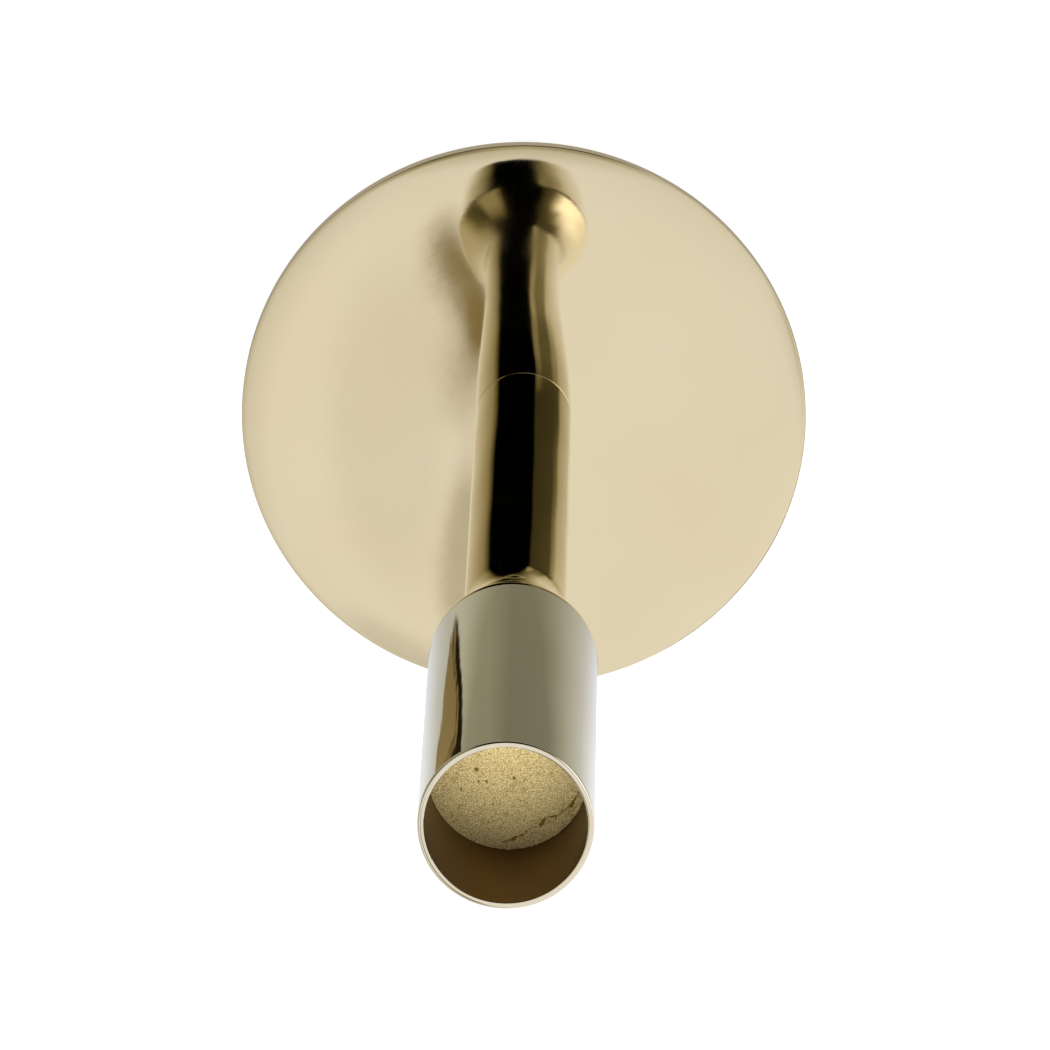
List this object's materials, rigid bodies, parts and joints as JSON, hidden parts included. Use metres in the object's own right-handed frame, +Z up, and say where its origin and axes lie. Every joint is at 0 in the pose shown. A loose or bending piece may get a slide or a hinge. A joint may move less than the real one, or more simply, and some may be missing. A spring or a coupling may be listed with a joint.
{
  "type": "taper candle holder",
  "caption": "Polished brass candle holder with a thin round base, a slim stem and a long cylindrical cup whose short socket has a rough cast floor.",
  "frame": {"origin": "middle of the underside of the felt pad, on the common axis of base, stem and cup", "axes": "+Z up along the stem to the mouth of the cup; the holder is the same all round, so +X and +Y are free"},
  "size_m": [0.09, 0.09, 0.2026],
  "materials": {
    "polished_brass": "hand-polished to a soft mirror, with fine wheel marks",
    "cast_brass": "as cast, sandy and pitted",
    "machined_brass": "plain turned, unpolished",
    "steel": "zinc-plated",
    "felt": "pressed wool felt, matt"
  },
  "bodies": {
    "root": {"base_pad": "felt", "base_disc": "polished_brass", "base_screw": "steel", "stem_tube": "polished_brass", "stem_lower_plug": "machined_brass", "cup_shoulder": "polished_brass", "cup_tube": "polished_brass", "socket_floor": "cast_brass"}
  },
  "joints": []
}
